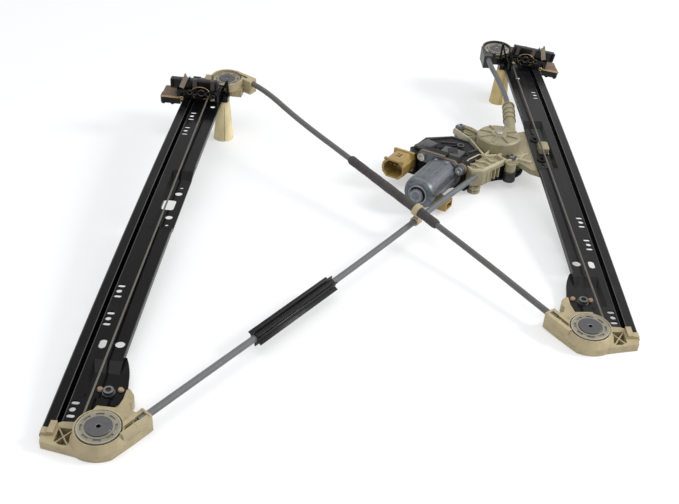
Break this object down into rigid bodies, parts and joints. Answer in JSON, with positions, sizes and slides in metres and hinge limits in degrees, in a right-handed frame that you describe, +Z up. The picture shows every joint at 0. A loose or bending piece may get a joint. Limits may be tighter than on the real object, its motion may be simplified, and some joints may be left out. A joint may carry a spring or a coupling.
{
  "type": "window regulator",
  "caption": "Power window regulator with curved guide rails, cable pulleys, glass clamps, a ribbed drum housing and a worm gear motor joined by sheathed cables.",
  "frame": {"origin": "centre of the footprint of the rails and drive, on the bench that the assembly rests on", "axes": "+X from the left rail to the right rail, +Y along the rails from the lower pulleys to the upper pulleys, +Z up from the bench"},
  "size_m": [0.4898, 0.7278, 0.0844],
  "materials": {
    "rail_paint": "gloss",
    "cream_plastic": "satin",
    "khaki_plastic": "satin",
    "strap_plastic": "matte",
    "dark_plastic": "satin",
    "post_plastic": "matte",
    "slate_steel": "satin",
    "black_steel": "satin",
    "natural_plastic": "satin",
    "clamp_plastic": "satin",
    "steel": "satin",
    "bronze": "satin",
    "cable_steel": "satin",
    "brown_rubber": "matte",
    "black_plastic": "matte",
    "amber_plastic": "satin",
    "motor_steel": "satin",
    "black_rubber": "matte",
    "dark_conduit": "satin",
    "grey_conduit": "satin",
    "black_foam": "matte"
  },
  "bodies": {
    "rails_and_drive": {"cable_run_left": "cable_steel", "cable_run_right": "cable_steel", "conduit_lower": "grey_conduit", "conduit_short": "grey_conduit", "conduit_upper": "dark_conduit", "connector_shell": "amber_plastic", "crossing_clip": "cream_plastic", "drum_bolts": "steel", "drum_housing": "khaki_plastic", "drum_pin": "steel", "end_bracket_left": "rail_paint", "end_bracket_right": "rail_paint", "finned_sleeve": "black_rubber", "foam_sleeve": "black_foam", "gear_housing": "black_plastic", "gear_lid": "black_plastic", "housing_foot": "black_rubber", "lower_connector": "amber_plastic", "motor_can": "motor_steel", "motor_gasket": "black_rubber", "motor_rivets": "black_steel", "motor_screws": "steel", "pulley_axle_bottom_left": "slate_steel", "pulley_axle_bottom_right": "slate_steel", "pulley_axle_top_left": "slate_steel", "pulley_axle_top_right": "slate_steel", "pulley_housing_bottom_left": "cream_plastic", "pulley_housing_bottom_right": "cream_plastic", "pulley_housing_top_left": "cream_plastic", "pulley_housing_top_right": "dark_plastic", "rail_left": "rail_paint", "rail_pegs": "bronze", "rail_post_left": "post_plastic", "rail_post_right": "post_plastic", "rail_right": "rail_paint", "rail_screws": "steel", "worm_shaft": "steel"},
    "carrier_left": {"carrier_left": "clamp_plastic", "clamp_base_left": "clamp_plastic", "clamp_jaw_left": "clamp_plastic", "glass_pads_left": "brown_rubber", "clamp_clip_left": "strap_plastic", "clamp_springs_left": "steel", "clamp_screw_left": "steel", "cable_nipple_left": "steel"},
    "carrier_right": {"carrier_right": "clamp_plastic", "clamp_base_right": "clamp_plastic", "clamp_jaw_right": "clamp_plastic", "glass_pads_right": "brown_rubber", "clamp_clip_right": "strap_plastic", "clamp_springs_right": "steel", "clamp_screw_right": "steel", "cable_nipple_right": "steel"},
    "drum": {"cable_drum": "natural_plastic", "worm_wheel": "cream_plastic"},
    "pulley_bottom_left": {"pulley_bottom_left": "natural_plastic"},
    "pulley_bottom_right": {"pulley_bottom_right": "natural_plastic"},
    "pulley_top_left": {"pulley_top_left": "natural_plastic"},
    "pulley_top_right": {"pulley_top_right": "natural_plastic"}
  },
  "joints": [
    {"name": "carrier_left_travel", "type": "hinge", "parent": "rails_and_drive", "child": "carrier_left", "pos_m": [-0.20539, 0.50888, -6.5904], "axis": [0.9974, -0.0721, -0.0063], "range_deg": [0, 3.32]},
    {"name": "carrier_right_travel", "type": "hinge", "parent": "rails_and_drive", "child": "carrier_right", "pos_m": [0.20539, 0.67488, -6.5904], "axis": [0.9974, 0.0721, 0.0063], "range_deg": [0, 3.32]},
    {"name": "pulley_bottom_left_turn", "type": "hinge", "parent": "rails_and_drive", "child": "pulley_bottom_left", "pos_m": [-0.2, -0.34099, 0.01317], "axis": [0, -0.0872, 0.9962], "range_deg": [0, 1416]},
    {"name": "pulley_bottom_right_turn", "type": "hinge", "parent": "rails_and_drive", "child": "pulley_bottom_right", "pos_m": [0.2, -0.175, 0.01317], "axis": [0, -0.0872, 0.9962], "range_deg": [-1416, 0]},
    {"name": "pulley_top_left_turn", "type": "hinge", "parent": "rails_and_drive", "child": "pulley_top_left", "pos_m": [-0.1637, 0.19874, 0.06039], "axis": [0, -0.0872, 0.9962], "range_deg": [0, 1577]},
    {"name": "pulley_top_right_turn", "type": "hinge", "parent": "rails_and_drive", "child": "pulley_top_right", "pos_m": [0.1593, 0.34244, 0.05844], "axis": [0, -0.0872, 0.9962], "range_deg": [-1577, 0]},
    {"name": "drum_turn", "type": "hinge", "parent": "rails_and_drive", "child": "drum", "pos_m": [0.1445, 0.1347, 0.03], "axis": [0, 0, 1], "range_deg": [0, 1162]}
  ],
  "couplings": [
    {"joint": "carrier_right_travel", "follows": "carrier_left_travel", "ratio": 1},
    {"joint": "pulley_bottom_left_turn", "follows": "carrier_left_travel", "ratio": 426.28},
    {"joint": "pulley_bottom_right_turn", "follows": "carrier_left_travel", "ratio": -426.28},
    {"joint": "pulley_top_left_turn", "follows": "carrier_left_travel", "ratio": 475},
    {"joint": "pulley_top_right_turn", "follows": "carrier_left_travel", "ratio": -475},
    {"joint": "drum_turn", "follows": "carrier_left_travel", "ratio": 350}
  ]
}
